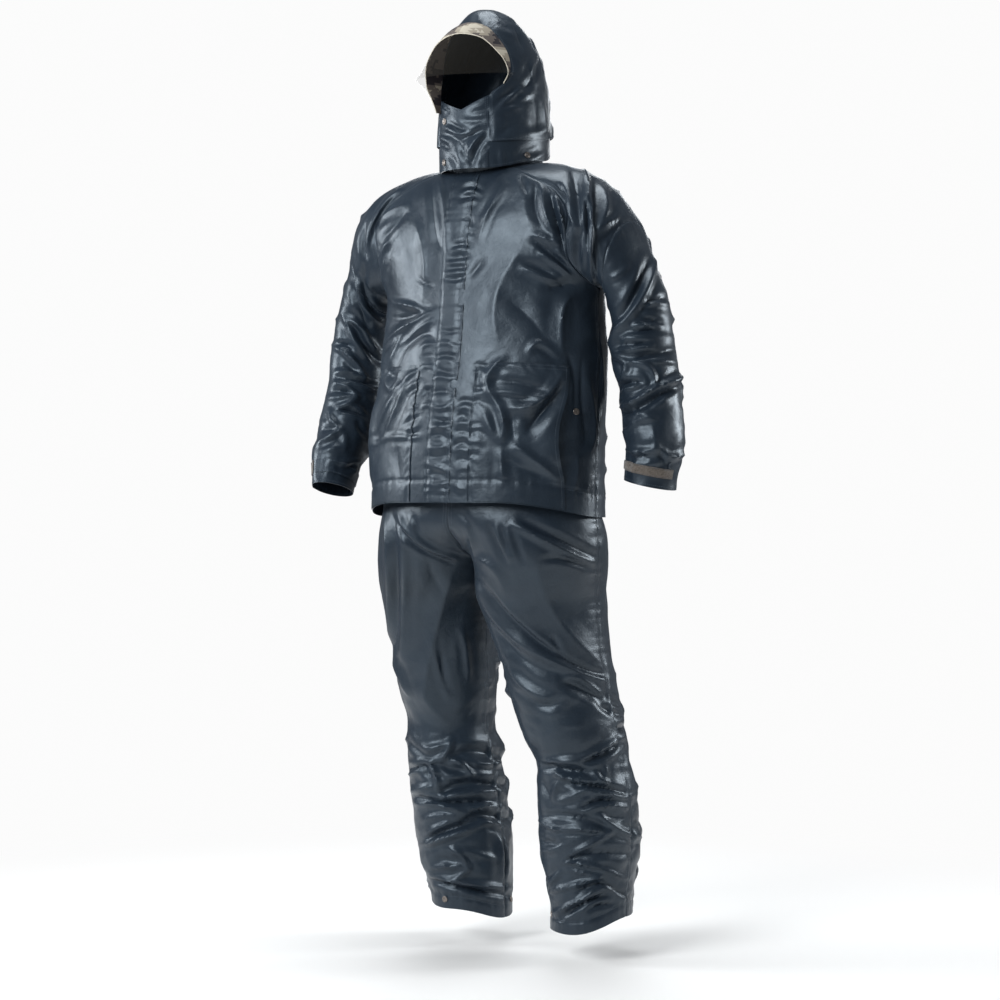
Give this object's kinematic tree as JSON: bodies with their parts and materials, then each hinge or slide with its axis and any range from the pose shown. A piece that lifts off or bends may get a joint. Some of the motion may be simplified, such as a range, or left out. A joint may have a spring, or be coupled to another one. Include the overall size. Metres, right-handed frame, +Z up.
{
  "type": "rain suit",
  "caption": "Hollow worn rain suit in slate nylon: hooded jacket with mask, clear visor and camouflage brim over trousers, no wearer.",
  "frame": {"origin": "centre of the neck base, where the shoulders carry the suit", "axes": "+Z up, the front faces -Y, the wearer's left is +X"},
  "size_m": [0.7777, 0.3833, 1.723],
  "materials": {
    "nylon": "coated plain weave, soft gloss",
    "camouflage": "printed plain weave, matt",
    "clear_vinyl": "clear, glossy",
    "tape": "hook-and-loop tape, matt",
    "snap": "dark antique"
  },
  "bodies": {
    "root": {"front_left": "nylon", "front_right": "nylon", "back": "nylon", "sleeve_left_upper": "nylon", "sleeve_left_lower": "nylon", "sleeve_right_upper": "nylon", "sleeve_right_lower": "nylon", "collar": "nylon", "mask": "nylon", "neck_strap": "nylon", "hood_left": "nylon", "hood_right": "nylon", "hood_centre": "nylon", "storm_flap": "nylon", "pocket_left": "nylon", "pocket_right": "nylon", "cuff_strap_left": "nylon", "cuff_strap_right": "nylon", "keeper_left": "nylon", "leg_left_front": "nylon", "leg_left_back": "nylon", "leg_right_front": "nylon", "leg_right_back": "nylon", "waistband": "nylon", "brim": "camouflage", "visor": "clear_vinyl", "cuff_tape_left": "tape", "cuff_tape_right": "tape", "snap_mask_upper": "snap", "snap_mask_lower": "snap", "snap_strap_left": "snap", "snap_strap_right": "snap", "snap_leg_left_front": "snap", "snap_leg_left_back": "snap", "snap_leg_right_front": "snap", "snap_leg_right_back": "snap", "snap_pocket_left": "snap", "snap_pocket_right": "snap"}
  },
  "joints": []
}
